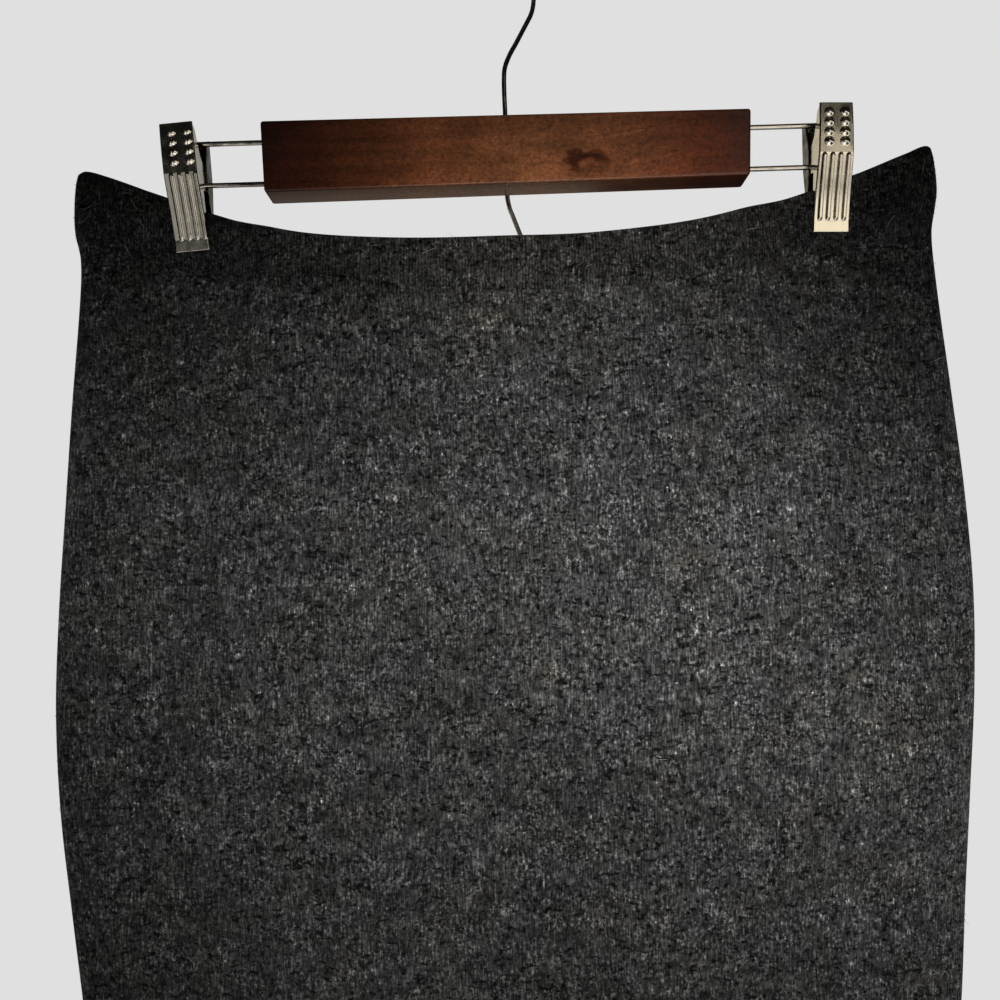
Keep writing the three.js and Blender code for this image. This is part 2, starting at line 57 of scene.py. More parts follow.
WAIST_EDGE = {
    "x": [-200.5, -196, -186, -163, -134, -98, -56, 0, 42, 84, 125, 163, 186, 196, 200.5],
    "z": [-108.9, -107.9, -111.0, -119.0, -130.0, -140.3, -144.6, -145.1, -144.4, -140.0,
          -130.4, -117.9, -109.8, -106.0, -108.7],
}
BAND_DEPTH = {
    "x": [-200, -160, -114, 0, 114, 160, 200],
    "depth": [31, 31, 27.8, 25.3, 27.8, 31, 31],
}
HEM_Z, HEM_DIP = -716, 14
SECTIONS = {
    "z": [-107.1, -113.1, -126.1, -136.1, -148.1, -164.1, -219.1, -266.1, -313.1, -360.1, -407.1, -454.1,
          -501.1, -590.1, -730.1],
    "half": [199.3, 201.2, 202.3, 201.6, 199.6, 200.2, 205.9, 210.4, 213.9, 214.8, 212.7, 209.0,
             205.3, 198.2, 187.0],
    "depth": [8.0, 8.2, 8.8, 9.3, 9.8, 10.6, 13.4, 15.6, 17.0, 17.6, 17.6, 17.0, 16.4, 15.6, 15.0],
    "middle": [-0.9, -0.9, -0.9, -1.4, -1.2, -1.0, -0.7, -0.3, -0.9, -2.6, -3.7, -3.3, -2.5, -2.5, -2.5],
}
# Power that blunts a section's sides, the share of its half-depth over which folds fade in, and a clip's
# pinch of the cloth
SIDE_ROUNDNESS = 0.62
FOLDS_FADE = (0.1, 0.75)
PINCH = {"x": 149, "half": 16, "sideways": 26, "below": 64, "z": -154.1}

# Soft folds: middle, half-length, half-width, how far out (or in), and sideways lean for each mm down
FRONT_FOLDS = [
    # x, z, run, width, out, lean
    (176, -396.1, 62, 34, 4.2, 0.0),
    (178, -458.1, 24, 52, -3.0, 0.0),
    (104, -278.1, 84, 58, 3.0, 0.1),
    (-150, -340.1, 110, 46, -2.6, -0.1),
    (-64, -570.1, 190, 24, 3.4, -0.05),
    (70, -600.1, 200, 27, 3.6, 0.02),
    (8, -610.1, 210, 24, -3.2, 0.02),
    (-116, -580.1, 170, 24, -3.0, -0.03),
    (128, -610.1, 150, 26, -2.8, 0.04),
]
BACK_FOLDS = [
    (-40, -260.1, 90, 60, 3.2, -0.08),
    (152, -350.1, 110, 44, -2.8, 0.1),
    (-172, -410.1, 60, 34, 3.6, 0.0),
    (-84, -600.1, 190, 28, 3.4, -0.03),
    (-22, -610.1, 200, 25, -3.0, 0.02),
    (44, -580.1, 190, 27, 3.6, 0.04),
    (112, -610.1, 180, 26, -3.2, 0.03),
]

# The hanger: how far its line rises for each mm to the right, then its bar and wires, with turns in degrees
HANGER_RISE = 0.0045
BAR = {"z": -104.4, "halfTop": 113.4, "halfBottom": 112.4, "left": 32.8, "right": 30.6, "thick": 17,
       "corner": 1.6, "edge": 1.1}
HOOK = {"wire": 2.2, "radius": 22, "turn": 45, "bendZ": -62.3, "start": -32, "end": 208}
LOWER_HOOK = {"bendZ": -126.5, "crank": 20, "length": 17, "radius": 8.5, "sweep": 218}
RAIL = {"wire": 2.3, "apart": 19.5, "bored": 24, "end": 151.6, "bend": 3.2}

# The clips: heights of their ends, and a row for each. In a jaw's own sizes, down
# runs from its top to its tip, and out from the wires' plane
CLIP_TOP, CLIP_TIP = -88.9, -145.5
CLIPS = [
    # name, side, x of its top and of its tip, how far right its relief sits, share it widens by
    ("left", LEFT, 151.6, 147.4, 1.3, 0.04),
    ("right", RIGHT, 151.9, 150.4, 0.2, 0.12),
]

# The jaws: their width, then the sheet's thickness, pressed ribs, thumb bumps, turned edges and side shape
JAW_WIDTH = {FRONT: 15.2, BACK: 17.4}
PLATE = 0.8
RIB = {"high": 0.8, "pitch": 3.7, "half": 1.3, "top": 24.6, "bottom": 50.6, "end": 1.5, "flat": 0.3}
BUMP = {"high": 1.0, "pitchX": 7.2, "pitchZ": 4.55, "first": 4.4, "halfX": 2.3, "halfZ": 1.85}
TURNED_EDGE = {"wide": 0.45, "back": 0.35, "thinner": 0.4}
JAW_PROFILE = {
    "down": [0, 10, 23.2, 23.7, 32, 42, 51, 52.5, 57],
    FRONT: [11.0, 11.65, 11.4, 11.28, 8.9, 6.1, 4.2, 4.08, 3.78],
    BACK: [12.4, 11.9, 10.85, 10.75, 8.6, 5.9, 4.2, 4.1, 3.85],
}
# A cheek's free edge as (down, out), the least that out may be on each face, and the heights down the sheet
# that its other edge follows
CHEEK = [(1, 10.4), (2, 7.6), (12, 3.5), (17, -2.5), (20.5, -3.9), (27.2, -2.9), (28.3, -1.5),
         (29.2, 3.2), (55.5, 3.0)]
CHEEK_REACH = {FRONT: -3.9, BACK: 2.2}
CHEEK_JOIN = range(53, 1, -4)
# A cheek's rounded rim: sheet thicknesses in from the jaw's side, and size. Its first and last rings lie in
# the faces, and keep their shading flat
CHEEK_ROUNDING = [(1, 0.965), (1, 0.985), (0.85, 1), (0.15, 1), (0, 0.985), (0, 0.965)]


# Shapes

def curve_through(along, value):
    """A smooth curve through rows of a table, level beyond its ends: a cubic whose slope at each row is that
    between its neighbours."""
    order = np.argsort(along)
    at, height = np.asarray(along, float)[order], np.asarray(value, float)[order]
    lo, hi = np.maximum(np.arange(len(at)) - 1, 0), np.minimum(np.arange(len(at)) + 1, len(at) - 1)
    slope = (height[hi] - height[lo]) / (at[hi] - at[lo])

    def curve(place):
        p = np.clip(place, at[0], at[-1])
        i = np.clip(np.searchsorted(at, p, side="right") - 1, 0, len(at) - 2)
        step = at[i + 1] - at[i]
        t = (p - at[i]) / step
        rise = t * t * (3 - 2 * t)
        leave = t * (1 - t) ** 2 * step * slope[i]
        arrive = t * t * (t - 1) * step * slope[i + 1]
        return height[i] + (height[i + 1] - height[i]) * rise + leave + arrive

    return curve


def ease(value, low, high):
    """0 below low, 1 above high, and smooth between them."""
    t = np.clip((value - low) / (high - low), 0, 1)
    return t * t * (3 - 2 * t)


waist_edge = curve_through(WAIST_EDGE["x"], WAIST_EDGE["z"])
band_depth = curve_through(BAND_DEPTH["x"], BAND_DEPTH["depth"])
half_width = curve_through(SECTIONS["z"], SECTIONS["half"])
half_depth = curve_through(SECTIONS["z"], SECTIONS["depth"])
middle = curve_through(SECTIONS["z"], SECTIONS["middle"])
SIDE_X = WAIST_EDGE["x"][0]


def height_at(x, drop):
    """Height of the cloth at x: drop 0 is the waist's edge, 1 the band's seam, 2 the hem, in even shares."""
    seam = waist_edge(x) - band_depth(x)
    hem = HEM_Z - HEM_DIP * (1 - np.minimum((x / half_width(HEM_Z)) ** 2, 1))
    return np.where(drop <= 1, waist_edge(x) - band_depth(x) * drop, seam + (hem - seam) * (drop - 1))


def pinch_at(x, z):
    """How firmly the nearer clip holds the cloth: 1 between its lips, fading sideways and below them."""
    beside = np.abs(np.abs(x) - PINCH["x"]) - PINCH["half"]
    below = np.maximum(PINCH["z"] - z, 0) / PINCH["below"]
    return (1 - ease(beside, 0, PINCH["sideways"])) * np.exp(-below * below)


def folds_at(face, x, z):
    """Sum of the soft folds, each a round bump that leans, with slight unevenness from a few slow waves."""
    out = 0
    for fx, fz, run, width, depth, lean in FRONT_FOLDS if face == FRONT else BACK_FOLDS:
        across = (x - fx - lean * (fz - z)) / width
        out = out + depth * np.exp(-(((z - fz) / run) ** 2) - across * across)
    for wave_x, wave_z, turn, high in UNEVEN[face]:
        out = out + high * np.sin(x / wave_x + z / wave_z + turn)
    return out


# Slow waves that leave no stretch of hung knit quite flat: length across and down over 2 pi, start, height
UNEVEN = {
    face: [
        (chance.uniform(7, 30) * chance.choice([-1, 1]), chance.uniform(18, 60), chance.uniform(0, 2 * PI),
         chance.uniform(0.1, 0.28))
        for _ in range(9)
    ]
    for face in (FRONT, BACK)
}


def cloth_middle(s, drop, face, wall):
    """Middle of the cloth: across, a sine of s (-1 at the left side seam, 1 at the
    right one) times the half-width, and out from the wires' plane, the half-depth
    times a blunt cosine of s, closed where a clip pinches it."""
    level = height_at(np.where(s < 0, SIDE_X, -SIDE_X), drop)
    x = middle(level) + (half_width(level) - wall / 2) * np.sin(PI / 2 * s)
    z = height_at(x, drop)
    rounding = np.maximum(np.cos(PI / 2 * s), 0) ** SIDE_ROUNDNESS
    closed = (wall + GAP) / 2
    out = closed + (half_depth(z) * rounding - closed) * (1 - pinch_at(x, z))
    folds = np.where(face == FRONT, folds_at(FRONT, x, z), folds_at(BACK, x, z))
    out = out + folds * ease(rounding, *FOLDS_FADE)
    least = (GAP + wall) / 2 * ease(rounding, 0, 0.3)
    return np.stack([x, face * np.maximum(out, least), z], -1)


def cloth_round(columns):
    """Places all round the tube, front then back, crowded towards
    the side seams: s, face and share of the way."""
    even = (np.arange(columns) + 0.5) / columns * 2 - 1
    crowding = 1.7
    s = np.sign(even) * (1 - (1 - np.abs(even)) ** crowding)
    s = np.concatenate([s, s[::-1]])
    face = np.repeat([FRONT, BACK], columns)
    return s, face


def cloth_tube(columns, wall, rows):
    """A closed wall of cloth all round. rows is its cut edge-on, one line each: drop, distance out from the
    cloth's middle, and lift along the height. Each point is the middle plus its normal times out, plus the
    lift. Gives rings of points, and the distances round and down the cloth for its pattern."""
    s, face = cloth_round(columns)
    drop, out, lift = np.array(rows, float).T
    grid_s, grid_drop = np.meshgrid(s, drop, indexing="ij")
    grid_face = np.broadcast_to(face[:, None], grid_s.shape)
    mid = cloth_middle(grid_s, grid_drop, grid_face, wall)
    step = 0.003
    below = cloth_middle(grid_s, grid_drop + step, grid_face, wall)
    above = cloth_middle(grid_s, grid_drop - step, grid_face, wall)
    round_way = np.roll(mid, -1, 0) - np.roll(mid, 1, 0)
    normal = np.cross(round_way, below - above)
    normal /= np.linalg.norm(normal, axis=-1, keepdims=True)
    normal *= np.sign(np.sum(normal[..., 1] * grid_face * (np.abs(grid_s) < 0.5)))
    rings = mid + normal * out[None, :, None]
    rings[..., 2] += lift[None, :]
    lengths = np.linalg.norm(np.diff(mid[:, :, :2], axis=0, append=mid[:1, :, :2]), axis=-1)
    around = np.concatenate([[0], np.cumsum(lengths.mean(1))])
    return rings, around


def loft(rings, wrap=False):
    """Faces of a skin over closed rings of points: quads from each ring to the next, back to
    the first when wrap is true, or else with a flat cap on each end."""
    count, size = rings.shape[:2]
    start = np.arange(count if wrap else count - 1)[:, None] * size
    here = np.arange(size)[None, :]
    after = (here + 1) % size
    following = (start + size) % (count * size)
    quads = np.stack([start + here, following + here, following + after, start + after], -1).reshape(-1, 4)
    faces = quads.tolist()
    if not wrap:
        faces += [list(range(size)), list(range((count - 1) * size, count * size))[::-1]]
    return rings.reshape(-1, 3), faces


def enclosed(points, faces):
    """Volume inside closed faces, negative when they point inwards:
    the sum of each corner fan's triple products."""
    total = 0.0
    by_size = {}
    for f in faces:
        by_size.setdefault(len(f), []).append(f)
    for size, group in by_size.items():
        corners = points[np.array(group)]
        for i in range(1, size - 1):
            total += np.einsum("ij,ij->", corners[:, 0], np.cross(corners[:, i], corners[:, i + 1]))
    return total / 6


def make_piece(name, shells, material, maps=None):
    """One mesh from closed shells of (points, faces) in millimetres, turned to
    face outwards, with an optional map of distances along the cloth (one pair
    for each corner of each face), riding on the root body."""
    points, faces, corner_maps, base = [], [], [], 0
    for i, (shell_points, shell_faces) in enumerate(shells):
        flip = enclosed(shell_points, shell_faces) < 0
        shell_faces = [f[::-1] for f in shell_faces] if flip else shell_faces
        faces += [[base + v for v in f] for f in shell_faces]
        if maps is not None:
            shell_maps = maps[i][:, ::-1] if flip else maps[i]
            corner_maps.append(shell_maps.reshape(-1, 2))
        points.append(shell_points)
        base += len(shell_points)
    mesh = bpy.data.meshes.new(name)
    mesh.from_pydata((np.concatenate(points) * MM).tolist(), [], faces)
    if maps is not None:
        layer = mesh.uv_layers.new(name="cloth")
        layer.data.foreach_set("uv", (np.concatenate(corner_maps) * MM).astype(np.float32).ravel())
    mesh.polygons.foreach_set("use_smooth", np.ones(len(mesh.polygons), bool))
    mesh.materials.append(material)
    mesh.validate()
    made = bpy.data.objects.new(name, mesh)
    bpy.context.scene.collection.objects.link(made)
    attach(made, "root")
    return made


# Materials

def linear(hex_colour):
    """A linear colour from an sRGB hex value, opaque."""
    c = np.array([int(hex_colour[i:i + 2], 16) for i in (1, 3, 5)]) / 255
    return (*np.where(c <= 0.04045, c / 12.92, ((c + 0.055) / 1.055) ** 2.4), 1.0)


def add(tree, kind, inputs=None, stops=None, **settings):
    """Adds a node: its settings, its inputs by name or number (a value, or another node's output) and, for a
    colour ramp, its stops as (place, hex colour)."""
    made = tree.nodes.new("ShaderNode" + kind)
    for name, value in settings.items():
        setattr(made, name, value)
    for key, value in (inputs or {}).items():
        if isinstance(value, bpy.types.NodeSocket):
            tree.links.new(value, made.inputs[key])
        else:
            made.inputs[key].default_value = value
    if stops:
        ramp = made.color_ramp.elements
        for i, (place, colour) in enumerate(stops):
            element = ramp[i] if i < 2 else ramp.new(place)
            element.position, element.color = place, linear(colour)
    return made


def new_material(name):
    """An empty material with a Principled shader: the material, its node tree and the shader."""
    made = bpy.data.materials.new(name)
    made.use_nodes = True
    tree = made.node_tree
    return made, tree, tree.nodes["Principled BSDF"]


# The knit's grains: a cell's width and height in mm, fineness, and weight in the sum of light and dark
KNIT_GRAINS = {
    "loops": (1.3, 1.55, 2.0, 5.8),
    "streak": (0.95, 5.0, 2.0, 4.1),
    "clump": (4.8, 4.0, 2.0, 2.8),
    "felting": (16, 13, 2.0, 1.3),
    "shading": (60, 50, 2.0, 0.6),
    "fleck": (0.9, 1.5, 1.0, 0),
    "pit": (3.4, 2.0, 2.0, 0),
    "thin": (11, 9, 2.0, 0),
    "hue": (26, 22, 2.0, 0),
}

# Spots in the knit: which grain, the noise between which they set in, and what they add to the sum.
# The pits are painted shade in the hollows between felted clumps.
KNIT_SPOTS = [("pit", 0.57, 0.66, -1.8), ("fleck", 0.67, 0.75, 1.2)]


def wool_knit(name, shade, wale_pitch, wale_strength):
    """Brushed wool-blend jersey, piece-dyed marl: the eye sees fine vertical streaks, dark pits between
    felted clumps, darkened with painted shade, pale flecks, and faint cool and olive patches. Each part adds
    to a sum of noises, and the colour is a base grey times shade times e to that sum, so light and dark
    spread evenly about it."""
    made, tree, shader = new_material(name)
    place = add(tree, "TexCoord").outputs["Object"]
    cloth = add(tree, "UVMap", uv_map="cloth").outputs["UV"]
    noise = {}
    for part, (wide, tall, fineness, _) in KNIT_GRAINS.items():
        cell = (1 / (wide * MM), 1 / (wide * MM), 1 / (tall * MM))
        sized = add(tree, "Mapping", {"Vector": place, "Scale": cell})
        noise[part] = add(tree, "TexNoise", {"Vector": sized.outputs[0], "Scale": 1.0, "Detail": fineness,
                                             "Roughness": 0.6}).outputs[0]
    # Loops where the felting is thin show more than where it is thick
    weight = KNIT_GRAINS["loops"][3]
    loops = add(tree, "Math", {0: noise["loops"], 1: weight, 2: -weight / 2}, operation="MULTIPLY_ADD")
    open_work = add(tree, "MapRange", {
        "Value": noise["thin"], "From Min": 0.35, "From Max": 0.65, "To Min": 0.5, "To Max": 1.35})
    total = add(tree, "Math", {0: loops.outputs[0], 1: open_work.outputs[0]}, operation="MULTIPLY")
    for part in ("streak", "clump", "felting", "shading"):
        weight = KNIT_GRAINS[part][3]
        level = add(tree, "Math", {0: noise[part], 1: weight, 2: -weight / 2}, operation="MULTIPLY_ADD")
        total = add(tree, "Math", {0: total.outputs[0], 1: level.outputs[0]}, operation="ADD")
    for part, low, high, depth in KNIT_SPOTS:
        spot = add(tree, "MapRange", {
            "Value": noise[part], "From Min": low, "From Max": high, "To Max": depth})
        total = add(tree, "Math", {0: total.outputs[0], 1: spot.outputs[0]}, operation="ADD")
    # Wales: ridges side by side, one wale_pitch apart round the cloth, with their phase nudged by noise
    split = add(tree, "SeparateXYZ", {0: cloth})
    nudge = add(tree, "TexNoise", {"Vector": cloth, "Scale": 60.0, "Detail": 2.0}, noise_dimensions="2D")
    turns = add(tree, "Math", {0: split.outputs["X"], 1: 2 * PI / (wale_pitch * MM)}, operation="MULTIPLY")
    turns = add(tree, "Math", {0: nudge.outputs[0], 1: 4.0, 2: turns.outputs[0]}, operation="MULTIPLY_ADD")
    wale = add(tree, "Math", {0: turns.outputs[0]}, operation="SINE")
    total = add(tree, "Math", {
        0: wale.outputs[0], 1: wale_strength, 2: total.outputs[0]}, operation="MULTIPLY_ADD")
    spread = add(tree, "Math", {0: total.outputs[0]}, operation="EXPONENT")
    level = add(tree, "Math", {0: spread.outputs[0], 1: shade}, operation="MULTIPLY")
    dye = add(tree, "ValToRGB", {"Fac": noise["hue"]},
              stops=[(0.34, "#393939"), (0.5, "#393938"), (0.67, "#3a3936")])
    colour = add(tree, "VectorMath", {0: dye.outputs[0], 1: level.outputs[0]}, operation="MULTIPLY")
    high = add(tree, "Math", {0: wale.outputs[0], 1: 0.2, 2: noise["loops"]}, operation="MULTIPLY_ADD")
    bump = add(tree, "Bump", {"Height": high.outputs[0], "Strength": 0.45, "Distance": 0.0007})
    tree.links.new(colour.outputs[0], shader.inputs["Base Color"])
    tree.links.new(bump.outputs[0], shader.inputs["Normal"])
    shader.inputs["Roughness"].default_value = 0.95
    shader.inputs["Specular IOR Level"].default_value = 0.02
    shader.inputs["Sheen Weight"].default_value = 0.04
    shader.inputs["Sheen Roughness"].default_value = 0.6
    return made


# The knot on the bar's front, in metres, and its rings from the middle outwards
KNOT = {"at": (0.0372, -0.0085, -0.1115), "reach": (0.0135, 0.05, 0.0068)}
KNOT_RINGS = [(0.0, "#ffffff"), (0.2, "#f0dccb"), (0.38, "#84695c"), (0.6, "#7a6156"), (0.85, "#c2aea2"),
              (1.0, "#ffffff")]
# Colour along the bar: its stained wood, and painted shade that darkens both ends, the left end most
STAIN_AND_SHADE = [(0.0, "#3b170a"), (0.12, "#4a230f"), (0.30, "#683c24"), (0.55, "#72482e"), (0.76, "#6c4129"),
         (0.9, "#542815"), (1.0, "#441c0d")]


def stained_walnut():
    """Hardwood planed square, stained walnut brown and lacquered: faint long grain
    under a fine mottle, short open pores, one knot, painted shade that darkens its ends and
    the top of its front, and a soft clear gloss that brightens its rounded edges."""
    made, tree, shader = new_material("stained_walnut")
    place = add(tree, "TexCoord").outputs["Object"]
    # The knot: a pale eye 6 mm wide, a dark arch over it, and a smear of dark grain swung round it
    smear = add(tree, "TexNoise", {"Vector": place, "Scale": 170.0, "Detail": 3.0})
    shift = add(tree, "VectorMath", {0: smear.outputs["Color"], 1: (0.5, 0.5, 0.5)}, operation="SUBTRACT")
    shift = add(tree, "VectorMath", {0: shift.outputs[0], "Scale": 0.009}, operation="SCALE")
    bent = add(tree, "VectorMath", {0: place, 1: shift.outputs[0]}, operation="ADD")
    knot_way = add(tree, "Mapping", {
        "Vector": bent.outputs[0], "Location": KNOT["at"], "Scale": KNOT["reach"]}, vector_type="TEXTURE")
    ring = add(tree, "VectorMath", {0: knot_way.outputs[0]}, operation="LENGTH")
    knot_axes = add(tree, "SeparateXYZ", {0: knot_way.outputs[0]})
    lean = add(tree, "Math", {
        0: knot_axes.outputs["X"], 1: -0.3, 2: knot_axes.outputs["Z"]}, operation="MULTIPLY_ADD")
    arch = add(tree, "MapRange", {
        "Value": lean.outputs[0], "From Min": -0.75, "From Max": 0.15, "To Min": 0.12, "To Max": 0.95})
    near = add(tree, "MapRange", {"Value": ring.outputs["Value"], "From Min": 0.3, "From Max": 3.0,
                                  "To Min": 1.0, "To Max": 0.0})
    # Grain lines about 3 mm apart seen along the plank, bent a little and swung round the knot
    plank = add(tree, "Mapping", {"Vector": place, "Scale": (1 / 0.06, 1 / 0.0052, 1 / 0.0044)})
    swing = add(tree, "Math", {0: near.outputs[0], 1: 1.3}, operation="MULTIPLY")
    swung = add(tree, "CombineXYZ", {0: swing.outputs[0], 2: swing.outputs[0]})
    grain_way = add(tree, "VectorMath", {0: plank.outputs[0], 1: swung.outputs[0]}, operation="ADD")
    grain = add(tree, "TexNoise", {
        "Vector": grain_way.outputs[0], "Scale": 1.0, "Detail": 4.0, "Roughness": 0.55, "Distortion": 0.4})
    mottle = add(tree, "TexNoise", {"Vector": place, "Scale": 620.0, "Detail": 2.0, "Roughness": 0.7})
    cloudy = add(tree, "TexNoise", {"Vector": place, "Scale": 42.0, "Detail": 2.0})
    pore_way = add(tree, "Mapping", {"Vector": place, "Scale": (1 / 0.004, 1 / 0.0006, 1 / 0.0005)})
    pores = add(tree, "TexNoise", {"Vector": pore_way.outputs[0], "Scale": 1.0, "Detail": 2.0})
    # Along the bar: reddish brown past the middle, with painted shade that takes it near black at the left
    # end and deeper at the right end
    along = add(tree, "SeparateXYZ", {0: place})
    share = add(tree, "MapRange", {"Value": along.outputs["X"], "From Min": -0.113, "From Max": 0.113})
    stain_and_shade = add(tree, "ValToRGB", {"Fac": share.outputs[0]}, stops=STAIN_AND_SHADE)
    # Painted light and shade: the front lighter towards its lower edge and darker towards its top
    fade = add(tree, "MapRange", {"Value": along.outputs["Z"], "From Min": -0.121, "From Max": -0.088,
                                  "To Min": 1.3, "To Max": 0.62})
    dark = add(tree, "MapRange", {
        "Value": grain.outputs[0], "From Min": 0.32, "From Max": 0.66, "To Min": 0.7, "To Max": 1.22})
    fine = add(tree, "MapRange", {
        "Value": mottle.outputs[0], "From Min": 0.3, "From Max": 0.7, "To Min": 0.62, "To Max": 1.48})
    broad = add(tree, "MapRange", {
        "Value": cloudy.outputs[0], "From Min": 0.35, "From Max": 0.65, "To Min": 0.8, "To Max": 1.2})
    pitted = add(tree, "MapRange", {
        "Value": pores.outputs[0], "From Min": 0.34, "From Max": 0.48, "To Min": 0.72, "To Max": 1.0})
    level = add(tree, "Math", {0: dark.outputs[0], 1: pitted.outputs[0]}, operation="MULTIPLY")
    for other in (fine, broad, fade):
        level = add(tree, "Math", {0: level.outputs[0], 1: other.outputs[0]}, operation="MULTIPLY")
    eye = add(tree, "ValToRGB", {"Fac": ring.outputs["Value"]}, stops=KNOT_RINGS)
    wood = add(tree, "VectorMath", {0: stain_and_shade.outputs[0], 1: level.outputs[0]}, operation="MULTIPLY")
    knotted = add(tree, "Mix", {0: arch.outputs[0], 6: wood.outputs[0], 7: eye.outputs[0]}, data_type="RGBA",
                  blend_type="MULTIPLY")
    bump = add(tree, "Bump", {"Height": pitted.outputs[0], "Strength": 0.2, "Distance": 0.0002})
    tree.links.new(knotted.outputs[2], shader.inputs["Base Color"])
    tree.links.new(bump.outputs[0], shader.inputs["Normal"])
    shader.inputs["Roughness"].default_value = 0.5
    shader.inputs["IOR"].default_value = 1.5
    shader.inputs["Specular IOR Level"].default_value = 0.2
    shader.inputs["Coat Weight"].default_value = 0.6
    shader.inputs["Coat Roughness"].default_value = 0.18
    return made


def nickel_steel(name, shade, tint, roughness):
    """Stamped or drawn steel, tumbled and nickel plated: a slightly warm bright metal, with fine rub
    marks and cloudy patches of handling that break up its reflections."""
    made, tree, shader = new_material(name)
    place = add(tree, "TexCoord").outputs["Object"]
    rub_way = add(tree, "Mapping", {"Vector": place, "Scale": (1 / 0.0004, 1 / 0.0004, 1 / 0.004)})
    rubs = add(tree, "TexNoise", {"Vector": rub_way.outputs[0], "Scale": 1.0, "Detail": 3.0})
    cloudy = add(tree, "TexNoise", {"Vector": place, "Scale": 160.0, "Detail": 3.0})
    worn = add(tree, "MapRange", {"Value": cloudy.outputs[0], "From Min": 0.35, "From Max": 0.7,
                                  "To Min": roughness * 0.7, "To Max": roughness * 1.5})
    tone = add(tree, "ValToRGB", {"Fac": cloudy.outputs[0]}, stops=[(0.3, shade), (0.62, tint)])
    bump = add(tree, "Bump", {"Height": rubs.outputs[0], "Strength": 0.04, "Distance": 0.00005})
    tree.links.new(tone.outputs[0], shader.inputs["Base Color"])
    tree.links.new(worn.outputs[0], shader.inputs["Roughness"])
    tree.links.new(bump.outputs[0], shader.inputs["Normal"])
    shader.inputs["Metallic"].default_value = 1.0
    return made


def wool_hair(name, light, dark):
    """Single wool fibres standing off the cloth: translucent and faintly glossy, from pale to grey."""
    made, tree, shader = new_material(name)
    place = add(tree, "TexCoord").outputs["Object"]
    batch = add(tree, "TexNoise", {"Vector": place, "Scale": 900.0, "Detail": 0.0})
    tone = add(tree, "ValToRGB", {"Fac": batch.outputs[0]}, stops=[(0.35, dark), (0.65, light)])
    tree.links.new(tone.outputs[0], shader.inputs["Base Color"])
    shader.inputs["Roughness"].default_value = 0.6
    return made


def sewing_thread():
    """Spun polyester thread, black: its ply shows as fine slanting lines."""
    made, tree, shader = new_material("sewing_thread")
    place = add(tree, "TexCoord").outputs["Object"]
    ply = add(tree, "TexWave", {
        "Vector": place, "Scale": 900.0, "Distortion": 1.0}, bands_direction="DIAGONAL")
    tone = add(tree, "ValToRGB", {"Fac": ply.outputs[0]}, stops=[(0.0, "#141414"), (1.0, "#2e2e2e")])
    tree.links.new(tone.outputs[0], shader.inputs["Base Color"])
    shader.inputs["Roughness"].default_value = 0.7
    return made


CHARCOAL = wool_knit("charcoal_wool_jersey", shade=1.04, wale_pitch=1.15, wale_strength=0.12)
# The band's rib knit, darkened with painted shade (shade 0.72) for the dimmer light at the waist
RIB_BAND_IN_SHADE = wool_knit("charcoal_rib_knit", shade=0.72, wale_pitch=1.4, wale_strength=0.3)
WALNUT = stained_walnut()
NICKEL = nickel_steel("nickel_plated_wire", "#9c9488", "#cfc9bd", 0.18)
CLIP_NICKEL = nickel_steel("nickel_plated_sheet", "#c0b9ab", "#dad3c3", 0.22)
# Back jaws and springs: the same plating, a little rougher, with painted shade that makes its colours far
# darker
NICKEL_IN_SHADE = nickel_steel("shaded_dull_nickel_sheet", "#47443d", "#575349", 0.34)
FUZZ = wool_hair("wool_fuzz", "#6f6e6b", "#232322")
PALE_HAIR = wool_hair("pale_wool_hair", "#d8d1c3", "#8f8a80")
THREAD = sewing_thread()


# Cloth

def wall_rows(top, bottom, wall, bottom_wall, outside, inside, fold_from=None, top_edge=1.0, seam_edge=1.0):
    """A wall's cut edge-on: down its outer face, round its lower edge, up its inner face and round
    its top edge. Both edges are half rounds, as high as top_edge and seam_edge times half the
    wall. Below fold_from the wall is turned up, and bottom_wall thick."""
    half = wall / 2
    low = bottom_wall / 2
    half_round = np.linspace(0, PI, 7)[1:-1]
    rows = [(d, half, 0) for d in np.linspace(top, bottom, outside)]
    rows += [(bottom, half - low + low * np.cos(a), -low * np.sin(a) * seam_edge) for a in half_round]
    inner = np.linspace(bottom, top, inside)
    if fold_from is None:
        rows += [(d, -half, 0) for d in inner]
    else:
        edge, turned = 0.003, half - bottom_wall
        rows += [(bottom, turned, 0), (fold_from + edge, turned, 0), (fold_from, -half, 0)]
        rows += [(d, -half, 0) for d in inner if d < fold_from - edge]
    rows += [(top, -half * np.cos(a), half * np.sin(a) * top_edge) for a in half_round]
    return rows


def cloth_maps(rings, around):
    """Distances round and down the cloth at each corner of each quad of a wrapped loft."""
    count, size = rings.shape[:2]
    down = -rings[..., 2]
    ring = np.arange(count)
    here = np.arange(size)
    after = (here + 1) % size
    following = (ring + 1) % count
    u0 = np.broadcast_to(around[:-1, None], (count, size))
    u1 = np.broadcast_to(around[1:, None], (count, size))

    def corner(u, rows, places):
        return np.stack([u, down[np.ix_(rows, places)]], -1)

    quads = [corner(u0, ring, here), corner(u1, following, here), corner(u1, following, after),
             corner(u0, ring, after)]
    return np.stack(quads, 2).reshape(-1, 4, 2)


def cloth_piece(name, columns, wall, rows, material):
    """A tube of cloth with its pattern map."""
    rings, around = cloth_tube(columns, wall, rows)
    return make_piece(name, [loft(rings, wrap=True)], material, [cloth_maps(rings, around)])


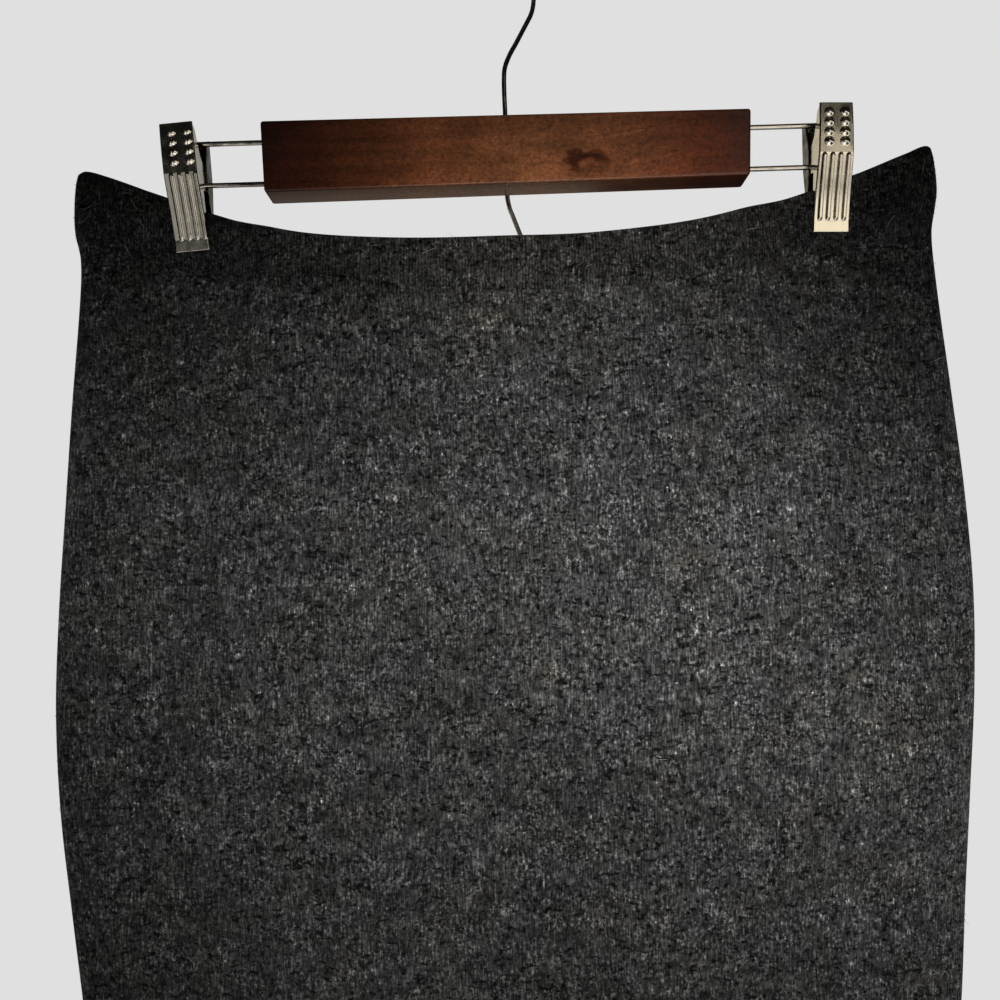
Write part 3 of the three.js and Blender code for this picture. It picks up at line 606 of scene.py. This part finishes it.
side_length = float(waist_edge(SIDE_X) - band_depth(SIDE_X) - HEM_Z)
hem_top = 2 - HEM_HEIGHT / side_length
seam_drop = 1 + GAP / side_length
hem_drop = 2 - TURNED_HEM / 2 / side_length
skirt_rows = wall_rows(seam_drop, hem_drop, KNIT, TURNED_HEM, outside=170, inside=44, fold_from=hem_top,
                       top_edge=0.3)
skirt = cloth_piece("skirt", columns=190, wall=KNIT, rows=skirt_rows, material=CHARCOAL)
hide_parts("skirt_front", "skirt_back")

band_top = BAND / 2 / float(band_depth(SIDE_X))
band_rows = wall_rows(band_top, 1, BAND, BAND, outside=16, inside=8, seam_edge=0.35)
waistband = cloth_piece("waistband", columns=210, wall=BAND, rows=band_rows, material=RIB_BAND_IN_SHADE)
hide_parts("waistband_front", "waistband_back")


# Wires

def arc(across, up, radius, start, end, count):
    """Points of an arc in a plane of across and up, angles in degrees."""
    a = np.radians(np.linspace(start, end, count))
    return np.stack([across + radius * np.cos(a), up + radius * np.sin(a)], -1)


def smooth_path(points, spacing):
    """A smooth curve through points, each coordinate a curve_through of the distance along them."""
    far = np.concatenate([[0], np.cumsum(np.linalg.norm(np.diff(points, axis=0), axis=1))])
    at = np.linspace(0, far[-1], int(far[-1] / spacing))
    return np.stack([curve_through(far, points[:, k])(at) for k in range(3)], -1)


def wire(points, diameter, sides=16, spacing=0.8):
    """A round wire along a path: a ring of points square to it at each place, with rounded ends."""
    path = smooth_path(points, spacing)
    along = np.gradient(path, axis=0)
    along /= np.linalg.norm(along, axis=1, keepdims=True)
    side = np.cross(along, (0.13, 0.99, 0.07))
    side /= np.linalg.norm(side, axis=1, keepdims=True)
    other = np.cross(along, side)
    a = np.linspace(0, 2 * PI, sides, endpoint=False)
    size = np.full(len(path), diameter / 2)
    size[[0, -1]] *= 0.55
    size[[1, -2]] *= 0.9
    circle = np.cos(a)[None, :, None] * side[:, None] + np.sin(a)[None, :, None] * other[:, None]
    return loft(path[:, None] + size[:, None, None] * circle)


def hanger_z(x):
    """The hanger's own line, which hangs a little low on its left."""
    return BAR["z"] + HANGER_RISE * x


def hook_route():
    """From the small hook below the bar, up through it as a straight
    neck, then cranked and round to the tip."""
    turn = np.radians(HOOK["turn"])
    upper = arc(0, HOOK["wire"] / 2 - HOOK["radius"], HOOK["radius"], HOOK["start"], HOOK["end"], 49)
    upper = np.stack([upper[:, 0] * np.cos(turn), upper[:, 0] * np.sin(turn), upper[:, 1]], -1)
    crank = np.radians(LOWER_HOOK["crank"])
    bend = np.array([0, LOWER_HOOK["bendZ"]])
    end = bend + LOWER_HOOK["length"] * np.array([np.sin(crank), -np.cos(crank)])
    centre = end - LOWER_HOOK["radius"] * np.array([np.cos(crank), np.sin(crank)])
    low = arc(*centre, LOWER_HOOK["radius"], LOWER_HOOK["crank"] - LOWER_HOOK["sweep"],
              LOWER_HOOK["crank"], 25)
    straight = end + (bend - end) * np.array([[0.25], [0.6], [0.85]])
    neck_z = LOWER_HOOK["bendZ"] + (HOOK["bendZ"] - LOWER_HOOK["bendZ"]) * np.array([0.05, 0.3, 0.6, 0.95])
    low = np.concatenate([low, straight, np.stack([0 * neck_z, neck_z], -1)])
    low = np.stack([low[:, 0], 0 * low[:, 0], low[:, 1]], -1)
    neck_top = np.array([0, 0, HOOK["bendZ"]])
    crank_up = neck_top + (upper[0] - neck_top) * np.array([[0.15], [0.5], [0.85]])
    return np.concatenate([low, crank_up, upper])


def rail_route(side):
    """Out of the bar along the upper leg, round inside the clip and back along the lower leg."""
    start = BAR["halfBottom"] - RAIL["bored"]
    half, bend = RAIL["apart"] / 2, RAIL["bend"]
    legs = start + (RAIL["end"] - bend - start) * np.array([0, 0.3, 0.6, 0.85])
    upper = np.stack([legs, np.full(4, half)], -1)
    top = arc(RAIL["end"] - bend, half - bend, bend, 90, 0, 7)
    low = arc(RAIL["end"] - bend, bend - half, bend, 0, -90, 7)
    flat = np.concatenate([upper, top, low, upper[::-1] * (1, -1)])
    x = side * flat[:, 0]
    return np.stack([x, 0 * x, hanger_z(x) + flat[:, 1]], -1)


def bar_shell():
    """The bar: its front outline, a tapering plank with slanted ends and rounded
    corners, carried from front to back through rings that shrink in quarter
    circles at both faces, so that its long edges are rounded."""
    reach = BAR["corner"]
    corners = np.array([
        [-BAR["halfTop"], BAR["left"] / 2], [-BAR["halfBottom"], -BAR["left"] / 2],
        [BAR["halfBottom"], -BAR["right"] / 2], [BAR["halfTop"], BAR["right"] / 2],
    ])
    corners[:, 1] += hanger_z(corners[:, 0])
    outline, inwards = [], []
    for i, corner in enumerate(corners):
        before, after = corners[i - 1] - corner, corners[(i + 1) % 4] - corner
        before, after = before / np.linalg.norm(before), after / np.linalg.norm(after)
        for t in np.linspace(0, 1, 7):
            outline.append(corner + reach * (before * (1 - t) ** 2 + after * t * t))
            inward = before * t + after * (1 - t)
            inwards.append(inward / np.linalg.norm(inward))
    outline, inwards = np.array(outline), np.array(inwards)
    turn = np.linspace(0, PI / 2, 6)
    # A ring further in lies in each face, and keeps its shading flat
    further = 0.3
    inset = np.concatenate([[BAR["edge"] + further], BAR["edge"] * (1 - np.sin(turn))])
    from_face = np.concatenate([[0], BAR["edge"] * (1 - np.cos(turn))])
    half = BAR["thick"] / 2
    rings = [
        np.stack([(outline + inwards * i)[:, 0], np.full(len(outline), y), (outline + inwards * i)[:, 1]], -1)
        for i, y in list(zip(inset, from_face - half)) + list(zip(inset, half - from_face))[::-1]
    ]
    return loft(np.array(rings))


bar = make_piece("bar_plank", [bar_shell()], WALNUT)
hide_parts("hanger_bar")
hook = make_piece("hook_wire", [wire(hook_route(), HOOK["wire"])], NICKEL)
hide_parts("hook")
for word, side in (("left", LEFT), ("right", RIGHT)):
    rail = make_piece(f"rail_wire_{word}", [wire(rail_route(side), RAIL["wire"])], NICKEL)
    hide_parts(f"rail_{word}")


# Clips

def jaw_relief(x, down, share):
    """How far a jaw's sheet stands out: four pressed ribs with sloping sides and round ends, and two columns
    of four thumb bumps above them, each a smooth rise over its own oval."""
    ribs = 0
    for i in (-1.5, -0.5, 0.5, 1.5):
        beside = np.abs(x - i * RIB["pitch"] * share) / (RIB["half"] * share)
        past = np.maximum(np.maximum(RIB["top"] - down, down - RIB["bottom"]), 0) / RIB["end"]
        ribs = np.maximum(ribs, 1 - ease(np.hypot(beside, past), RIB["flat"], 1))
    bumps = 0
    for column in (-0.5, 0.5):
        beside = (x - column * BUMP["pitchX"] * share) / BUMP["halfX"]
        for row in range(4):
            below = (down - BUMP["first"] - row * BUMP["pitchZ"]) / BUMP["halfZ"]
            bumps = np.maximum(bumps, 1 - beside ** 2 - below ** 2)
    return RIB["high"] * ribs + BUMP["high"] * bumps


def jaw_shells(face, fine, shift, widening):
    """A jaw standing upright, its top at z = 0: a sheet whose side shape is the table's curve plus its
    pressed relief, with its long edges turned back, and two cheeks behind it. The relief sits shift to the
    right of the middle, and the sheet is wider at its tip by the share widening."""
    width = JAW_WIDTH[face]
    out = curve_through(JAW_PROFILE["down"], JAW_PROFILE[face])
    down = np.linspace(0, JAW_PROFILE["down"][-1], int(150 * fine))
    across = np.linspace(-width / 2, width / 2, int(120 * fine))
    grid_down, grid_x = np.meshgrid(down, across, indexing="ij")
    turned = TURNED_EDGE["back"] * ease(np.abs(grid_x), width / 2 - TURNED_EDGE["wide"], width / 2)
    flare = widening / down[-1]
    grid_x = grid_x * (1 + flare * grid_down)
    far = out(grid_down) + jaw_relief(grid_x - shift, grid_down, width / JAW_WIDTH[FRONT]) - turned
    outer = np.stack([grid_x, face * far, -grid_down], -1)
    inner = np.stack([grid_x, face * (far - PLATE + turned * TURNED_EDGE["thinner"]), -grid_down], -1)
    shells = [loft(np.concatenate([outer, inner[:, ::-1]], 1))]
    behind_sheet = [(d, out(d) - PLATE / 2) for d in CHEEK_JOIN]
    outline = np.array([(max(o, CHEEK_REACH[face]), -d) for d, o in CHEEK + behind_sheet])
    centre = outline.mean(0)
    for edge in (-1, 1):
        rings = []
        for inwards, size in CHEEK_ROUNDING:
            x = edge * (width / 2 - PLATE * inwards)
            flat = centre + (outline - centre) * size
            rings.append(np.stack([x * (1 - flare * flat[:, 1]), face * flat[:, 0], flat[:, 1]], -1))
        shells.append(loft(np.array(rings)))
    return shells


def clip_place(points, side, top_x, tip_x):
    """Leans an upright clip's points and sets them on their rails."""
    lean = side * np.arctan2(top_x - tip_x, CLIP_TOP - CLIP_TIP)
    x, y, z = points.T
    moved_x = x * np.cos(lean) + z * np.sin(lean)
    moved_z = -x * np.sin(lean) + z * np.cos(lean)
    return np.stack([moved_x + side * top_x, y, moved_z + CLIP_TOP + HANGER_RISE * side * top_x], -1)


for word, side, top_x, tip_x, shift, widening in CLIPS:
    for face, face_word, finish, *form in (
        # face, its word, finish, then how fine its grid is, shift and widening
        (FRONT, "front", CLIP_NICKEL, 1.0, shift, widening),
        (BACK, "back", NICKEL_IN_SHADE, 0.7, 0, 0),
    ):
        shells = [(clip_place(p, side, top_x, tip_x), f) for p, f in jaw_shells(face, *form)]
        jaw = make_piece(f"clip_{word}_{face_word}_sheet", shells, finish)
        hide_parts(f"clip_{word}_{face_word}_jaw")


# Fibres standing off the cloth, and the hem's stitches

def cloth_frame(s, drop, face, wall):
    """A place on the cloth's outer face with its normal and the ways across and down."""
    step = 0.002
    mid = cloth_middle(s, drop, face, wall)
    right, left = np.minimum(s + step, 1), np.maximum(s - step, -1)
    across = cloth_middle(right, drop, face, wall) - cloth_middle(left, drop, face, wall)
    down = cloth_middle(s, drop + step, face, wall) - cloth_middle(s, drop - step, face, wall)
    across /= np.linalg.norm(across, axis=-1, keepdims=True)
    down /= np.linalg.norm(down, axis=-1, keepdims=True)
    normal = np.cross(across, down)
    normal /= np.linalg.norm(normal, axis=-1, keepdims=True)
    normal *= np.sign(normal[:, 1] * face)[:, None]
    return mid + normal * np.asarray(wall)[..., None] / 2, normal, across, down


def fibres(name, count, length, thickness, lift, material, low, high):
    """Loose fibres as thin three-sided hairs: each starts in the cloth, runs off in its
    own direction, bends, and ends in a point a little above it."""
    s = chance.uniform(-0.95, 0.95, count)
    face = np.where(chance.random(count) < 0.5, FRONT, BACK)
    drop = chance.uniform(low, high, count)
    wall = np.where(drop <= 1, BAND, KNIT)
    root, normal, across, down = cloth_frame(s, drop, face, wall)
    heading = chance.uniform(0, 2 * PI, count)
    bend = chance.normal(0, 0.7, count)
    long = chance.uniform(*length, count)
    high_up = chance.uniform(*lift, count)
    points = []
    for t in (0.0, 0.35, 0.7, 1.0):
        a = (heading + bend * t)[:, None]
        along = (np.cos(a) * across + np.sin(a) * down) * (long * t)[:, None]
        points.append(root + along + normal * (high_up * np.sin(PI / 2 * min(1.4 * t, 1)) - 0.05)[:, None])
    path = np.stack(points, 1)
    angle = np.array([0.3, 0.3 + 2 * PI / 3, 0.3 + 4 * PI / 3])
    thin = thickness / 2 * np.array([0.7, 1, 0.8, 0.15])
    forward = np.gradient(path, axis=1)
    forward /= np.linalg.norm(forward, axis=-1, keepdims=True)
    first = np.cross(forward, normal[:, None])
    first /= np.linalg.norm(first, axis=-1, keepdims=True)
    second = np.cross(forward, first)
    ring = np.cos(angle)[:, None] * first[:, :, None] + np.sin(angle)[:, None] * second[:, :, None]
    rings = path[:, :, None] + thin[None, :, None, None] * ring
    quads = np.array([[r * 3 + k, (r + 1) * 3 + k, (r + 1) * 3 + (k + 1) % 3, r * 3 + (k + 1) % 3]
                      for r in range(3) for k in range(3)])
    caps = np.array([[0, 1, 2], [11, 10, 9]])
    base = (np.arange(count) * 12)[:, None, None]
    faces = (quads[None] + base).reshape(-1, 4).tolist() + (caps[None] + base).reshape(-1, 3).tolist()
    return make_piece(name, [(rings.reshape(-1, 3), faces)], material)


fuzz = fibres("wool_fuzz", 6500, length=(1.2, 3.2), thickness=0.15, lift=(0.1, 0.4), material=FUZZ,
              low=0.12, high=1.98)
hairs = fibres("stray_hairs", 70, length=(3.0, 10.0), thickness=0.22, lift=(0.2, 0.5), material=PALE_HAIR,
               low=0.2, high=1.9)


def hem_stitches():
    """Blind hem: a small loop of thread caught through the cloth
    every 7 mm, just below the turning's edge."""
    s = np.linspace(-0.97, 0.97, 56)
    shells = []
    for face in (FRONT, BACK):
        full = np.full(len(s), face)
        root, normal, across, down = cloth_frame(s, np.full(len(s), hem_top + 0.004), full, KNIT)
        for p, n, a, d in zip(root, normal, across, down):
            t = np.linspace(-1, 1, 5)[:, None]
            path = p + a * t * 0.9 + d * t * 0.35 + n * (0.12 * (1 - t * t) - 0.08)
            shells.append(wire(path, diameter=0.3, sides=5, spacing=0.45))
    return make_piece("hem_stitches", shells, THREAD)


stitches = hem_stitches()


def cloth_area(rows, wall, low, high):
    """Area of one layer all round between two drops, in square metres: the sum of small quads."""
    s, face = cloth_round(240)
    drop = np.linspace(low, high, rows)
    grid_s, grid_drop = np.meshgrid(s, drop, indexing="ij")
    mid = cloth_middle(grid_s, grid_drop, np.broadcast_to(face[:, None], grid_s.shape), wall)
    a = np.roll(mid, -1, 0)[:, :-1] - mid[:, :-1]
    b = mid[:, 1:] - mid[:, :-1]
    return float(np.linalg.norm(np.cross(a, b), axis=-1).sum()) * MM * MM


# Area of each sheet all round, in square metres, worked out and not kept
cloth_area(rows=160, wall=KNIT, low=seam_drop, high=2)
cloth_area(rows=12, wall=BAND, low=0, high=1)

# Finishes of the nodes that stay
# The springs take the back jaws' nickel, darkened with painted shade
for name in ("clip_left_spring", "clip_right_spring"):
    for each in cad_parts[name].material_slots:
        each.material = NICKEL_IN_SHADE


# Studio: a pale floor below the hem, a pale surround, soft lights and the camera

# The floor, and the camera: its place, roll in degrees, lens and sensor in mm, and upward shift as a share
FLOOR = {"z": -850, "thick": 8, "radius": 550}
CAMERA = {"place": (-7.8, -457, -289.5), "roll": 1.5, "lens": 35, "sensor": 36, "shift": 0.05}


def paper_floor():
    """A round of pale paper on the studio floor, well below the hem. A faint glow of
    its own stands for the light that a white room throws on it."""
    made, tree, shader = new_material("pale_paper")
    place = add(tree, "TexCoord").outputs["Object"]
    tooth = add(tree, "TexNoise", {"Vector": place, "Scale": 260.0, "Detail": 3.0})
    tone = add(tree, "ValToRGB", {"Fac": tooth.outputs[0]}, stops=[(0.3, "#dedede"), (0.7, "#e4e4e4")])
    tree.links.new(tone.outputs[0], shader.inputs["Base Color"])
    tree.links.new(tone.outputs[0], shader.inputs["Emission Color"])
    shader.inputs["Emission Strength"].default_value = 0.62
    shader.inputs["Roughness"].default_value = 0.9
    a = np.linspace(0, 2 * PI, 96, endpoint=False)
    rim = np.stack([FLOOR["radius"] * np.cos(a), FLOOR["radius"] * np.sin(a), FLOOR["z"] + 0 * a], -1)
    points, faces = loft(np.array([rim - (0, 0, FLOOR["thick"]), rim]))
    mesh = bpy.data.meshes.new("floor")
    mesh.from_pydata((points * MM).tolist(), [], faces)
    mesh.materials.append(made)
    floor = bpy.data.objects.new("floor", mesh)
    bpy.context.scene.collection.objects.link(floor)


paper_floor()


def turned_to(place, aim):
    """Angles that turn a lamp at a place to face a point: down from straight up, then round."""
    away = np.array(place, float) - np.array(aim, float)
    return np.arctan2(np.hypot(away[0], away[1]), away[2]), 0, np.arctan2(away[0], -away[1])


def card(*settings):
    """A soft box that only shows in gloss, as a white card does beside a dark object."""
    soft_light(*settings).visible_diffuse = False


def soft_light(name, place, aim, size, watts, colour="#ffffff"):
    """A square soft box at a place, turned to a point it lights, both in metres."""
    data = bpy.data.lights.new(name, "AREA")
    data.shape, data.size, data.energy = "RECTANGLE", size[0], watts
    data.size_y = size[1]
    data.color = linear(colour)[:3]
    made = bpy.data.objects.new(name, data)
    made.rotation_euler = turned_to(place, aim)
    made.location = place
    bpy.context.scene.collection.objects.link(made)
    return made


def lamp(name, place, aim, watts, cone, radius, colour="#ffffff"):
    """A round studio lamp whose light fades from the middle of its cone to the
    edge, in metres and degrees. Metal doesn't show it."""
    data = bpy.data.lights.new(name, "SPOT")
    data.energy, data.spot_size, data.spot_blend, data.shadow_soft_size = watts, np.radians(cone), 1, radius
    data.color = linear(colour)[:3]
    made = bpy.data.objects.new(name, data)
    made.visible_glossy = False
    made.rotation_euler = turned_to(place, aim)
    made.location = place
    bpy.context.scene.collection.objects.link(made)


# Lamps that light the cloth and the wood: name, place, aim, watts, cone and radius
lamp("room_lamp", (-0.30, -1.30, -0.50), (0.02, 0, -0.375), 46.5, 25, 0.12)
lamp("key_lamp", (0.42, -1.25, -0.45), (0.057, 0, -0.268), 44, 12.5, 0.05)
lamp("window_lamp", (-0.45, -1.20, -0.40), (-0.117, 0, -0.28), 21, 15, 0.08)
lamp("low_lamp", (0.45, -1.20, -0.60), (0.19, 0, -0.372), 36, 16, 0.08)
lamp("hanger_lamp", (0.30, -1.20, 0.05), (0.03, 0, -0.070), 36, 14, 0.05, colour="#fff4e6")
lamp("back_lamp", (-0.35, 1.3, -0.10), (0, 0, -0.40), 62, 42, 0.15)
# Cards that only gloss shows: name, place, aim, size and watts
card("card_right", (0.53, -1.03, -0.07), (0.15, 0, -0.11), (0.50, 0.52), 1.35, "#fff5e4")
card("card_left", (-0.59, -1.03, -0.215), (-0.15, 0, -0.11), (0.34, 0.45), 0.3)
card("card_low", (0.20, -0.85, -0.86), (0, 0, -0.20), (0.8, 0.6), 3.0)
card("card_low_left", (-0.72, -0.85, -0.86), (0, 0, -0.20), (0.4, 0.6), 1.4)
card("card_side", (1.3, -0.75, -0.22), (-0.15, 0, -0.11), (1.0, 0.5), 1.9)
card("card_back_left", (-0.19, 1.06, 0.32), (0, 0, -0.11), (0.32, 0.5), 0.40, "#fff3df")
card("card_back_right", (0.19, 1.06, 0.32), (0, 0, -0.11), (0.32, 0.5), 0.22)
card("card_high", (0.445, -1.03, 0.36), (0.15, 0, -0.11), (0.09, 0.36), 0.08, "#fff3df")
card("wall_glow", (-0.12, 0.9, -0.45), (0, 0, -0.30), (0.56, 0.4), 0.24, "#ffe9cf")
# Soft boxes that light both sides
soft_light("side_left", (-1.1, 0.45, -0.35), (0, 0, -0.38), (0.4, 0.9), 2.0)
soft_light("side_right", (1.1, 0.45, -0.35), (0, 0, -0.38), (0.4, 0.9), 2.0)

world = bpy.data.worlds.new("studio")
world.use_nodes = True
bpy.context.scene.world = world
sky = world.node_tree
sky.nodes.clear()
seen = add(sky, "LightPath")
direction = add(sky, "TexCoord")
height = add(sky, "SeparateXYZ", {0: direction.outputs["Generated"]})
glow = add(sky, "ValToRGB", {"Fac": height.outputs["Z"]}, stops=[(0.0, "#141414"), (1.0, "#1c1c1c")])
lit = add(sky, "Background", {"Color": glow.outputs[0], "Strength": 1.0})
wall_colour = add(sky, "Background", {"Color": linear("#e0e0e0"), "Strength": 1.0})
both = add(sky, "MixShader", {0: seen.outputs["Is Camera Ray"], 1: lit.outputs[0], 2: wall_colour.outputs[0]})
add(sky, "OutputWorld", {"Surface": both.outputs[0]})
bpy.context.scene.view_settings.view_transform = "Standard"

camera = bpy.data.objects.new("camera", bpy.data.cameras.new("camera"))
camera.data.lens, camera.data.sensor_width = CAMERA["lens"], CAMERA["sensor"]
camera.data.shift_y = CAMERA["shift"]
camera.location = np.array(CAMERA["place"]) * MM
camera.rotation_euler = (PI / 2, np.radians(CAMERA["roll"]), 0)
bpy.context.scene.collection.objects.link(camera)
bpy.context.scene.camera = camera
